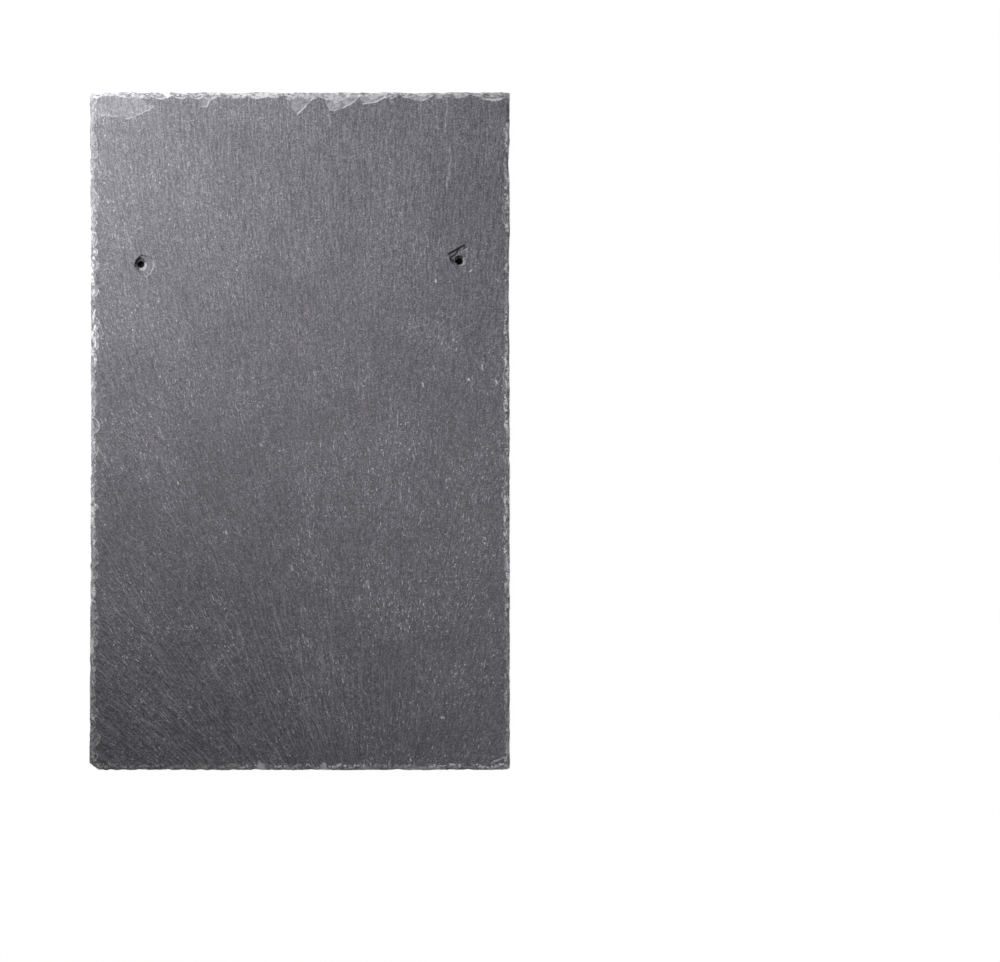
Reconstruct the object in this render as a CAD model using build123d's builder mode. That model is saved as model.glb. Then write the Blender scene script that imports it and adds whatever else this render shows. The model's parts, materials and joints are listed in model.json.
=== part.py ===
from build123d import *
import os
from math import pi, sin

# Natural slate roof tile in millimetres, +Z up: split along the cleavage, dressed on its four
# sides and holed for two nails. The bed lies on z = 0, +Y points to the head of the tile, and
# the origin is under its middle.

# Tile
tile_width = 250
tile_length = 403
tile_thickness = 5.5

# Dressed edge: a square land above the bed, then chip scars that slope back to the face
land_height = 3.2
bed_undercut = 0.5
arris_wander = 0.7
left_hollow = 0.9
cusp_reach = 1.7
corner_reach = 3.2
head_chip_width = 13
tail_chip_width = 6.5
left_chip_width = 9.5
right_chip_width = 9

# Corners knocked off at the tail: along the tail edge and up the side
left_break_length = 4.8
left_break_height = 4.2
right_break_length = 1.6
right_break_height = 1.4

# Flakes split off the face at its edges: length along the edge and reach inwards
flake_depth = 0.6
corner_flake_length = 40
corner_flake_reach = 16
notch_flake_length = 9.6
notch_flake_reach = 8.8
wedge_flake_length = 17
wedge_flake_reach = 13.8
broad_flake_length = 20.5
broad_flake_reach = 11.2
side_flake_length = 17
side_flake_reach = 7.5
tail_flake_length = 8
tail_flake_reach = 6.8
heel_flake_length = 14
heel_flake_reach = 9.5

# Nail holes, punched from the bed, so that the face spalls off round each of them
nail_hole_diameter = 4.1
left_hole_from_side = 30.7
left_hole_from_head = 102.4
right_hole_from_side = 30
right_hole_from_head = 100.5
spall_depth = 1.1
spall_slope = 40
left_spall_reach = 8.7
right_spall_reach = 10
funnel_flare = 1
funnel_angle = 84

# Overrun of the corner cuts past the stock
overrun = 2

# How unevenly the dressing knife falls: step between chips, and the depth of a chip scar as a
# share of its width
golden_share = 0.618034
chip_stray_share = 0.5
shallow_chip_share = 0.1
deep_chip_share = 0.34

# Where each flake starts along its edge, in shares of the tile's width
notch_flake_start_share = 0.252
wedge_flake_start_share = 0.464
broad_flake_start_share = 0.558
side_flake_start_share = 0.641
tail_flake_start_share = 0.395

# Outline of each flake in shares of its length and its reach, negative where it runs out past an edge
corner_flake_shares = (
    (-0.1, -0.2), (-0.1, 0.91), (0.25, 0.89), (0.41, 0.93), (0.48, 1), (0.57, 1),
    (0.69, 0.91), (0.92, 0.61), (1, 0.49), (0.86, 0.41), (0.77, -0.2),
)
notch_flake_shares = ((0, -0.2), (0.27, 1), (0.77, 1), (1, -0.2))
wedge_flake_shares = ((0, -0.2), (0.12, 0.55), (0.44, 1), (1, 0.3), (1, -0.2))
broad_flake_shares = ((0, -0.2), (0.06, 0.7), (0.15, 0.98), (0.32, 1), (0.57, 0.87), (0.84, 0.59), (1, -0.2))
side_flake_shares = ((0, -0.2), (0.13, 1), (0.61, 0.8), (1, -0.2))
tail_flake_shares = ((0, -0.2), (0.2, 1), (0.65, 0.6), (1, -0.2))
heel_flake_shares = ((-0.1, -0.2), (-0.1, 1), (0.14, 0.99), (0.5, 0.77), (0.87, 0.41), (1, -0.2))

# Outline of each spall round its hole, in shares of its reach
left_spall_shares = (
    (0.11, 0.68), (-0.2, 0.5), (-0.42, 0.08), (-0.43, -0.3), (-0.12, -0.62), (0.34, -0.96),
    (0.72, -0.6), (0.92, -0.05), (0.72, 0.42),
)
right_spall_shares = (
    (-0.71, 0.45), (0.31, 1), (0.55, 0.86), (0.62, 0.4), (0.5, -0.1), (0.2, -0.34),
    (-0.2, -0.33), (-0.47, -0.2), (-0.6, 0.15),
)


def uneven(index):
    """Spread from 0 to 1 that never repeats, as in work done by hand."""
    return index * golden_share % 1


def stations(length, chip_width):
    """Distances along a side, from its first corner, at which its chip scars begin."""
    count = round(length / chip_width)
    pitch = length / count
    return [0, *[pitch * (i + chip_stray_share * (uneven(i) - 1 / 2)) for i in range(1, count)]]


# Corners of the tile and the directions of its sides
half_width = tile_width / 2
half_length = tile_length / 2
tail_left = Vector(-half_width, -half_length)
tail_right = Vector(half_width, -half_length)
head_right = Vector(half_width, half_length)
head_left = Vector(-half_width, half_length)
right = Vector(1, 0)
left = Vector(-1, 0)
up = Vector(0, 1)
down = Vector(0, -1)

# Sides in order round the tile: first corner, direction, way in, length, chip width and hollow
sides = (
    (tail_left, right, up, tile_width, tail_chip_width, 0),
    (tail_right, up, left, tile_length, right_chip_width, 0),
    (head_right, left, down, tile_width, head_chip_width, 0),
    (head_left, down, right, tile_length, left_chip_width, left_hollow),
)

# Points of the bed, the arris and the face at the start of each chip scar, and how far in from
# its chord the scar reaches on the face
bed_points = []
arris_points = []
cusp_points = []
scar_depths = []
for corner, along, inward, length, chip_width, hollow in sides:
    starts = stations(length, chip_width)
    for i, (start, end) in enumerate(zip(starts, [*starts[1:], length])):
        stray = arris_wander * uneven(i) + hollow * sin(pi * start / length)
        edge = corner + along * start + inward * stray
        at_corner = i == 0
        beside_corner = at_corner or end == length
        way_in = inward + along if at_corner else inward
        extra_share = 0 if beside_corner else (deep_chip_share - shallow_chip_share) * uneven(i + 1)
        arris_points.append(edge)
        bed_points.append(edge + way_in * bed_undercut)
        cusp_points.append(edge + way_in * (corner_reach if at_corner else cusp_reach))
        scar_depths.append(inward * (end - start) * (shallow_chip_share + extra_share))
scar_chords = list(zip(cusp_points, [*cusp_points[1:], cusp_points[0]]))

# Flakes: corner they are measured from, direction, way in, start, length, reach and outline
flakes = (
    (head_left, right, down, 0, corner_flake_length, corner_flake_reach, corner_flake_shares),
    (head_left, right, down, notch_flake_start_share, notch_flake_length, notch_flake_reach, notch_flake_shares),
    (head_left, right, down, wedge_flake_start_share, wedge_flake_length, wedge_flake_reach, wedge_flake_shares),
    (head_left, right, down, broad_flake_start_share, broad_flake_length, broad_flake_reach, broad_flake_shares),
    (head_left, right, down, side_flake_start_share, side_flake_length, side_flake_reach, side_flake_shares),
    (tail_left, right, up, tail_flake_start_share, tail_flake_length, tail_flake_reach, tail_flake_shares),
    (tail_right, left, up, 0, heel_flake_length, heel_flake_reach, heel_flake_shares),
)

# Nail holes: middle of the hole, reach of its spall and outline of the spall
nail_hole_radius = nail_hole_diameter / 2
left_hole = head_left + right * left_hole_from_side + down * left_hole_from_head
right_hole = head_right + left * right_hole_from_side + down * right_hole_from_head
nail_holes = (
    (left_hole, left_spall_reach, left_spall_shares),
    (right_hole, right_spall_reach, right_spall_shares),
)
face_plane = Plane.XY.offset(tile_thickness)

with BuildPart() as slate_tile:
    # Body: bed, square land and scalloped bevel
    with BuildSketch(Plane.XY):
        with BuildLine():
            Polyline(*bed_points, close=True)
        make_face()
    with BuildSketch(Plane.XY.offset(land_height)):
        with BuildLine():
            Polyline(*arris_points, close=True)
        make_face()
    with BuildSketch(face_plane):
        with BuildLine():
            add([
                ThreePointArc(start, (start + end) / 2 + depth, end, mode=Mode.PRIVATE)
                for (start, end), depth in zip(scar_chords, scar_depths)
            ])
        make_face()
    loft(ruled=True)

    # Corners knocked off at the tail
    with BuildSketch(Plane.XY):
        with BuildLine():
            Polyline(
                tail_left + left * overrun + down * overrun,
                tail_left + right * left_break_length + down * overrun,
                tail_left + right * left_break_length,
                tail_left + up * left_break_height,
                tail_left + up * left_break_height + left * overrun,
                close=True,
            )
        make_face()
        with BuildLine():
            Polyline(
                tail_right + right * overrun + down * overrun,
                tail_right + up * right_break_height + right * overrun,
                tail_right + up * right_break_height,
                tail_right + left * right_break_length,
                tail_right + left * right_break_length + down * overrun,
                close=True,
            )
        make_face()
    extrude(amount=tile_thickness, mode=Mode.SUBTRACT)

    # Flakes split off the face
    with BuildSketch(face_plane):
        for corner, along, inward, start_share, length, reach, shares in flakes:
            start = corner + along * (tile_width * start_share)
            with BuildLine():
                Polyline(*[start + along * (length * u) + inward * (reach * v) for u, v in shares], close=True)
            make_face()
    extrude(amount=-flake_depth, mode=Mode.SUBTRACT)

    # Nail holes with their spalls
    for middle, reach, shares in nail_holes:
        with BuildSketch(face_plane):
            with BuildLine():
                Polyline(*[middle + right * (reach * u) + up * (reach * v) for u, v in shares], close=True)
            make_face()
        extrude(amount=-spall_depth, taper=spall_slope, mode=Mode.SUBTRACT)
        with Locations((middle.X, middle.Y, tile_thickness - spall_depth)):
            CounterSinkHole(nail_hole_radius, nail_hole_radius + funnel_flare, counter_sink_angle=funnel_angle)

slate_tile.part.label = "slate_tile"

os.makedirs("parts", exist_ok=True)
export_step(slate_tile.part, "parts/slate_tile.step")
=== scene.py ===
import json
import logging
import math
from collections.abc import Iterator, Sequence
from contextlib import contextmanager
from dataclasses import dataclass, field
from enum import Enum
from typing import Any

import bpy
import numpy as np
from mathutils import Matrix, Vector


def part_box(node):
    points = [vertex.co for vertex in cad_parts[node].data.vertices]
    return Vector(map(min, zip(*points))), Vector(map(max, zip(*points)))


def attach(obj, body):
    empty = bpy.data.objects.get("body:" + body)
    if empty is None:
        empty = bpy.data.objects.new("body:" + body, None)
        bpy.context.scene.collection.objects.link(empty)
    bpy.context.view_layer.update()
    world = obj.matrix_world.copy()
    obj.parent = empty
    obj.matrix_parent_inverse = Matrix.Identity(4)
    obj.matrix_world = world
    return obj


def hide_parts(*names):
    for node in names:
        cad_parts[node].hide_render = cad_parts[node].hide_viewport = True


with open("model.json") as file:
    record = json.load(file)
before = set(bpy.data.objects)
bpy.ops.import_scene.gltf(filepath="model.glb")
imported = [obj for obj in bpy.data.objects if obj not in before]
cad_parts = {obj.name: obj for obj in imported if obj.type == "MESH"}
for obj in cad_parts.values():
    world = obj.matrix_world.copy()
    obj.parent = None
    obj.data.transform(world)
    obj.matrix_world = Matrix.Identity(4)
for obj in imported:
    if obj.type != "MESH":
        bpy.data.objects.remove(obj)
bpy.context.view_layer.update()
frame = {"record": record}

log = logging.getLogger("slate_tile")
Points = Sequence[tuple[float, float]]
Socket = bpy.types.NodeSocket

MM = 0.001
TILE_NODE = "slate_tile"

# Marks that the tile's mesh carries for its finish, point by point; some of them hold painted highlights and
# painted shade
MARKS = ("pale", "crest", "glint", "fresh", "shade", "cream")

# Blender's names for the nodes that the finishes use most
MATH = "ShaderNodeMath"
VECTOR_MATH = "ShaderNodeVectorMath"
NOISE = "ShaderNodeTexNoise"
RANGE = "ShaderNodeMapRange"

# Settings and inputs of a soft change from one value to another
SOFT = {"interpolation_type": "SMOOTHSTEP"}
RANGE_INPUTS = ("Value", "From Min", "From Max", "To Min", "To Max")


def to_linear(colour: str) -> tuple[float, float, float, float]:
    """Turns an sRGB hex colour into linear RGBA.

    Args:
        colour: six hex digits with a leading hash sign.

    Returns:
        Linear red, green and blue, with an alpha of 1.
    """
    channels = (int(colour[i:i + 2], 16) / 255 for i in (1, 3, 5))
    red, green, blue = (c / 12.92 if c <= 0.04045 else ((c + 0.055) / 1.055) ** 2.4 for c in channels)
    return red, green, blue, 1.0


def ramp(low: float, high: float, values: np.ndarray) -> np.ndarray:
    """Rises smoothly from 0 at low to 1 at high.

    Args:
        low: value that gives 0.
        high: value that gives 1.
        values: numbers to place between the two.

    Returns:
        Shares from 0 to 1.
    """
    share = np.clip((values - low) / (high - low), 0, 1)
    return share * share * (3 - 2 * share)


@contextmanager
def editing(piece: bpy.types.Object, kind: str = "FACE") -> Iterator[None]:
    """Opens one piece alone in edit mode and closes it again.

    Args:
        piece: mesh object to edit.
        kind: what is selected there: VERT, EDGE or FACE.

    Returns:
        What a with statement needs.
    """
    bpy.ops.object.select_all(action="DESELECT")
    piece.select_set(True)
    bpy.context.view_layer.objects.active = piece
    bpy.ops.object.mode_set(mode="EDIT")
    bpy.ops.mesh.select_mode(type=kind)
    yield
    bpy.ops.object.mode_set(mode="OBJECT")


def apply_modifier(piece: bpy.types.Object, kind: str, settings: dict[str, Any]) -> None:
    """Adds a modifier to a piece, sets it and applies it.

    Args:
        piece: mesh object that gets it.
        kind: Blender's name for the modifier.
        settings: values of the modifier's properties.
    """
    bpy.ops.object.select_all(action="DESELECT")
    piece.select_set(True)
    bpy.context.view_layer.objects.active = piece
    modifier = piece.modifiers.new(kind.title(), kind)
    for name, value in settings.items():
        setattr(modifier, name, value)
    bpy.ops.object.modifier_apply(modifier=modifier.name)


def select_faces(piece: bpy.types.Object, chosen: np.ndarray) -> None:
    """Selects faces by number, and nothing else, for the next edit.

    Args:
        piece: mesh object, in object mode.
        chosen: one truth value for each face.
    """
    mesh = piece.data
    mesh.vertices.foreach_set("select", np.zeros(len(mesh.vertices), bool))
    mesh.edges.foreach_set("select", np.zeros(len(mesh.edges), bool))
    mesh.polygons.foreach_set("select", chosen)


def places(piece: bpy.types.Object) -> np.ndarray:
    """Reads the vertices of a mesh.

    Args:
        piece: mesh object to read.

    Returns:
        Places in millimetres, one row each.
    """
    flat = np.empty(len(piece.data.vertices) * 3)
    piece.data.vertices.foreach_get("co", flat)
    return flat.reshape(-1, 3) / MM


def put_places(piece: bpy.types.Object, rows: np.ndarray) -> None:
    """Writes the vertices of a mesh.

    Args:
        piece: mesh object to change.
        rows: places in millimetres, one row each.
    """
    piece.data.vertices.foreach_set("co", (rows * MM).ravel())
    piece.data.update()


def face_middles(piece: bpy.types.Object) -> np.ndarray:
    """Reads the middles of a mesh's faces.

    Args:
        piece: mesh object to read.

    Returns:
        Places in millimetres, one row each.
    """
    flat = np.empty(len(piece.data.polygons) * 3)
    piece.data.polygons.foreach_get("center", flat)
    return flat.reshape(-1, 3) / MM


@dataclass
class StoneNoise:
    """Repeatable noise over the plane of the tile, with sizes in millimetres.

    Attributes:
        seed: number that the pattern grows from.
        lattice: cells after which the pattern repeats.
        table: values at the corners of those cells.
    """

    seed: int
    lattice: int = 1024
    table: np.ndarray = field(init=False)

    def __post_init__(self) -> None:
        """Draws the lattice of values."""
        self.table = np.random.default_rng(self.seed).random((self.lattice, self.lattice))

    def smooth(self, x: np.ndarray, y: np.ndarray, size: float) -> np.ndarray:
        """Smooth noise.

        Args:
            x: first coordinate.
            y: second coordinate.
            size: width of a typical bump.

        Returns:
            Values from 0 to 1.
        """
        u, v = x / size, y / size
        i, j = np.floor(u).astype(int), np.floor(v).astype(int)
        u, v = u - i, v - j
        u, v = u * u * (3 - 2 * u), v * v * (3 - 2 * v)
        i0, j0 = i % self.lattice, j % self.lattice
        i1, j1 = (i + 1) % self.lattice, (j + 1) % self.lattice
        near = self.table[i0, j0] * (1 - u) + self.table[i1, j0] * u
        far = self.table[i0, j1] * (1 - u) + self.table[i1, j1] * u
        return near * (1 - v) + far * v

    def rough(self, x: np.ndarray, y: np.ndarray, size: float, octaves: int) -> np.ndarray:
        """Smooth noise with finer and finer noise on it.

        Args:
            x: first coordinate.
            y: second coordinate.
            size: width of the largest bumps.
            octaves: how many sizes, each half of the one before.

        Returns:
            Values from 0 to 1.
        """
        total, weight = np.zeros_like(x), 0.0
        for octave in range(octaves):
            share, shift = 0.5 ** octave, 17.3 * octave
            total += share * self.smooth(x + shift, y - shift, size * share)
            weight += share
        return total / weight


@dataclass(frozen=True)
class SplitFan:
    """How the split ran: streaks leave a focus past the tail, fan out and straighten towards the head.

    Lengths in millimetres.

    Attributes:
        focus: where the streaks come from.
        reach: distance from the focus at which they run straight up the tile.
        middle: distance from the focus at which they have their true width.
    """

    focus: tuple[float, float] = (50.0, -303.0)
    reach: float = 530.0
    middle: float = 330.0

    def across(self, x: np.ndarray, y: np.ndarray) -> np.ndarray:
        """Measures points across the streaks.

        Args:
            x: X of the points.
            y: Y of the points.

        Returns:
            The same value all along a streak.
        """
        out = y - self.focus[1]
        return (x - self.focus[0]) * self.middle / (out * np.exp(-(out / self.reach) ** 3 / 3))


class Side(Enum):
    """A side of the tile: direction along it, and its way in, as X and Y."""

    TAIL = ((1, 0), (0, 1))
    RIGHT = ((0, 1), (-1, 0))
    HEAD = ((-1, 0), (0, -1))
    LEFT = ((0, -1), (1, 0))


@dataclass(frozen=True)
class Dressing:
    """How the knife left one side. Lengths in millimetres.

    Attributes:
        chip_width: usual width of a chip scar.
        chip_reach: how far in a usual scar starts on the face.
        land: height of the arris over the bed.
        curve: how a scar falls towards the arris: 1 evenly, less steepest at the arris.
        wander: how far the arris strays inwards.
        pale: how strongly its broken stone is bruised.
        cream: how strongly its arris is marked with cream.
        crest: how bright the crests between its chips are.
        glint: how strongly its broken grains glint, as painted highlights.
        hollow: how far the whole side bows inwards.
        clean_run: length from its first corner over which its marks grow to full strength.
        fray: how far its scars stray in and out.
        lane: how far in from the arris its glints start.
        dents: broad dents: middle along the side, half width and depth.
    """

    chip_width: float
    chip_reach: float
    land: float
    curve: float
    wander: float
    pale: float
    cream: float
    crest: float
    glint: float
    hollow: float = 0.0
    clean_run: float = 0.001
    fray: float = 1.8
    lane: float = 0.9
    dents: tuple[tuple[float, float, float], ...] = ()


@dataclass(frozen=True)
class Wear:
    """How the broken stone of all sides shows. Lengths in millimetres.

    Attributes:
        least: share of the marks that is left where a side is clean.
        least_line: the same for the bright lines.
        ridge: how bright the ridge between two scars is, beside the upper edge of a scar.
        layer: how bright the edge of a layer is, beside the upper edge of a scar.
        line_break: size of the gaps in the bright lines.
        bruise_reach: how far in the bruised stone fades to half.
        flash: size of a glint.
        sway: how far the lane of glints strays.
        lane: half width of that lane, where the glints end and where they are full.
        stain_reach: how far the cream strays in and out.
        stain_edge: half width of the cream's soft edge.
        stain_foot: heights over the bed where the cream ends and where it is full.
        stain_drip: how far that foot strays up and down.
        lit: Z of a point's normal where the marks begin, and where they are full.
    """

    least: float = 0.25
    least_line: float = 0.4
    ridge: float = 0.5
    layer: float = 0.4
    line_break: float = 1.7
    bruise_reach: float = 3.5
    flash: float = 0.9
    sway: float = 2.8
    lane: tuple[float, float] = (1.3, 0.5)
    stain_reach: float = 7.0
    stain_edge: float = 0.35
    stain_foot: tuple[float, float] = (1.3, 2.9)
    stain_drip: float = 2.4
    lit: tuple[float, float] = (-0.2, 0.1)


@dataclass(frozen=True)
class CornerBreak:
    """A corner of the tail that was knocked off. Lengths in millimetres.

    Attributes:
        hand: -1 for the left corner, 1 for the right one.
        length: how much is gone along the tail.
        height: how much is gone up the side.
        reach: how far its broken slope runs over the face.
        depth: how deep that slope is at the break, as a share of the tile's thickness.
    """

    hand: int
    length: float
    height: float
    reach: float
    depth: float = 0.45

    def inward(self, u: np.ndarray, v: np.ndarray) -> np.ndarray:
        """Measures points in from the break.

        Args:
            u: distances from the side.
            v: distances from the tail.

        Returns:
            Distances in from the break's line.
        """
        return (u / self.length + v / self.height - 1) / math.hypot(1 / self.length, 1 / self.height)

    def pulled(self, u: np.ndarray, v: np.ndarray, hub: float) -> tuple[np.ndarray, np.ndarray]:
        """Pulls points in from the square corner to the break, along rays from a hub inside.

        Args:
            u: distances from the side.
            v: distances from the tail.
            hub: the hub's distance from both.

        Returns:
            The distances after the pull.
        """
        du, dv = hub - u, hub - v
        out = np.clip(np.maximum(du, dv) / hub, 0.0001, 1)
        lean = np.maximum(du / self.length + dv / self.height, 0.0001)
        to_break = (hub / self.length + hub / self.height - 1) / lean
        short = np.where((du > 0) & (dv > 0), np.minimum(to_break * out, 1), 1)
        scale = 1 - (1 - short) * out ** 2
        return hub - du * scale, hub - dv * scale


@dataclass(frozen=True)
class Scar:
    """A layer split off the face. Lengths in millimetres.

    Attributes:
        outline: corners of the patch, relative to its origin.
        depth: how far its floor lies under the face in its middle.
        fall: further drop of the floor for each millimetre towards its lower side.
        fall_to: direction of that lower side.
        step: width of the broken step round it.
        rag: how far the outline frays.
        pale: how much paler its fresh floor is than the face.
        crest: how bright the painted highlight is on its step where that faces the upper left, towards the
            key lamp.
        spared: how much of the dressing's slope it was spared.
    """

    outline: Points
    depth: float
    fall: float = 0.0
    fall_to: tuple[float, float] = (0.0, 1.0)
    step: float = 0.5
    rag: float = 0.5
    pale: float = 0.0
    crest: float = 0.5
    spared: float = 0.0

    @classmethod
    def seam(cls, path: Points, width: float, pale: float) -> "Scar":
        """Draws a thin pale seam in the face.

        Args:
            path: points along its left side.
            width: its width, measured in X.
            pale: how much paler it is than the face.

        Returns:
            The seam, as a scar too shallow to be felt.
        """
        back = tuple((x + width, y) for x, y in reversed(path))
        return cls((*path, *back), depth=0.05, step=0.25 * width, rag=0.2 * width, pale=pale, crest=0.0)

    def inside(self, x: np.ndarray, y: np.ndarray) -> np.ndarray:
        """Measures how far points lie inside the outline.

        Args:
            x: X of the points, from the scar's origin.
            y: Y of the points, from the scar's origin.

        Returns:
            Distances to the outline, negative outside it.
        """
        nearest, within = np.full_like(x, np.inf), np.zeros(x.shape, bool)
        corners = list(self.outline)
        for (ax, ay), (bx, by) in zip(corners, corners[1:] + corners[:1]):
            dx, dy = bx - ax, by - ay
            share = np.clip(((x - ax) * dx + (y - ay) * dy) / (dx * dx + dy * dy), 0, 1)
            nearest = np.minimum(nearest, np.hypot(x - ax - share * dx, y - ay - share * dy))
            if dy:
                within ^= ((ay > y) != (by > y)) & (x < ax + (y - ay) * dx / dy)
        return np.where(within, nearest, -nearest)

    def within(self, x: np.ndarray, y: np.ndarray, noise: StoneNoise) -> np.ndarray:
        """Measures how far points lie inside the frayed outline.

        Args:
            x: X of the points, from the scar's origin.
            y: Y of the points, from the scar's origin.
            noise: what frays its outline.

        Returns:
            Distances to the outline, negative outside it.
        """
        fray_x = self.rag * (noise.rough(x, y, 2.4, 3) - 0.5) * 2
        fray_y = self.rag * (noise.rough(x + 90, y + 50, 2.4, 3) - 0.5) * 2
        return self.inside(x + fray_x, y + fray_y)

    def drop(self, x: np.ndarray, y: np.ndarray, noise: StoneNoise) -> np.ndarray:
        """Measures how far the scar lowers the face.

        Args:
            x: X of the points, from the scar's origin.
            y: Y of the points, from the scar's origin.
            noise: what frays its outline.

        Returns:
            Depths in millimetres, 0 outside the scar.
        """
        middle_x, middle_y = np.mean(self.outline, axis=0)
        lower = self.fall * ((x - middle_x) * self.fall_to[0] + (y - middle_y) * self.fall_to[1])
        depth = np.maximum(self.depth + lower, 0.1 * self.depth)
        return depth * ramp(0, self.step, self.within(x, y, noise))

    def walls(self, x: np.ndarray, y: np.ndarray, noise: StoneNoise) -> tuple[np.ndarray, np.ndarray]:
        """Tells the walls of the scar that face the upper left, towards the key lamp, and get a painted
        highlight, from those opposite, which get painted shade.

        Args:
            x: X of the points, from the scar's origin.
            y: Y of the points, from the scar's origin.
            noise: what frays its outline.

        Returns:
            Shares of bruised wall and of grimy wall.
        """
        bruised, shaded_wall = np.zeros_like(x), np.zeros_like(x)
        low_x, low_y = np.min(self.outline, axis=0) - 2
        high_x, high_y = np.max(self.outline, axis=0) + 2
        near = (x > low_x) & (x < high_x) & (y > low_y) & (y < high_y)
        u, v = x[near], y[near]
        deep = self.within(u, v, noise)
        slope_x = self.within(u + 0.4, v, noise) - self.within(u - 0.4, v, noise)
        slope_y = self.within(u, v + 0.4, noise) - self.within(u, v - 0.4, noise)
        facing = (slope_y - slope_x) / (math.sqrt(2) * np.maximum(np.hypot(slope_x, slope_y), 0.01))
        wall = ramp(-0.25, 0.1, deep) * ramp(0.75, 0.3, deep)
        # A wall that faces the upper left, where the key lamp stands, gets a painted highlight; one that
        # faces away gets painted shade
        bruised[near] = self.crest * wall * ramp(0.1, 0.7, facing)
        shaded_wall[near] = ramp(-0.1, 0.1, deep) * ramp(1.05, 0.6, deep) * ramp(0.2, 0.7, -facing)
        return bruised, shaded_wall


@dataclass(frozen=True)
class NailHole:
    """A hole punched from the bed, with the layers that its punch burst off the face.

    Attributes:
        mount: name of the hole's mount in the record.
        ledges: broken layers round it, from its middle.
        dish: radius of the smooth dish that the burst leaves, on the side named by dish_to.
        dish_to: direction towards which the dish reaches further.
        funnel_depth: how deep under the face the dish meets the bore.
        crest: how bright the painted highlight is on its dish and walls where they face the upper left.
        wall_shade: how dark the painted shade is on its dish and walls where they face away from the upper
            left.
        lee: direction of the side of the bore that stays in the dark and gets painted shade.
    """

    mount: str
    ledges: tuple[Scar, ...]
    dish: float
    dish_to: tuple[float, float]
    funnel_depth: float
    crest: float
    wall_shade: float
    lee: tuple[float, float]

    @property
    def row(self) -> dict[str, Any]:
        """Finds the hole's mount.

        Returns:
            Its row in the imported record.
        """
        return next(m for m in frame["record"]["mounts"] if m["name"] == self.mount)

    @property
    def middle(self) -> tuple[float, float]:
        """Finds the middle of the bore.

        Returns:
            X and Y in millimetres.
        """
        return self.row["pos_m"][0] / MM, self.row["pos_m"][1] / MM

    @property
    def radius(self) -> float:
        """Reads how wide the bore is.

        Returns:
            Radius in millimetres.
        """
        return self.row["dims"]["r_mm"]

    def drop(self, x: np.ndarray, y: np.ndarray, noise: StoneNoise) -> np.ndarray:
        """Measures how far the burst lowers the face.

        Args:
            x: X of the points.
            y: Y of the points.
            noise: what roughens the broken stone.

        Returns:
            Depths in millimetres.
        """
        u, v = x - self.middle[0], y - self.middle[1]
        depth = np.zeros_like(x)
        for ledge in self.ledges:
            depth = np.maximum(depth, ledge.drop(u, v, noise))
        away = np.hypot(u, v)
        lean = (u * self.dish_to[0] + v * self.dish_to[1]) / np.maximum(away, 0.1)
        lip = self.dish * (1 + 0.35 * lean) + 0.5 * (noise.rough(x, y, 3, 2) - 0.5)
        share = np.clip((lip - away) / (lip - self.radius), 0, 1.4)
        return np.maximum(depth, self.funnel_depth * share ** 1.3)


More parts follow.
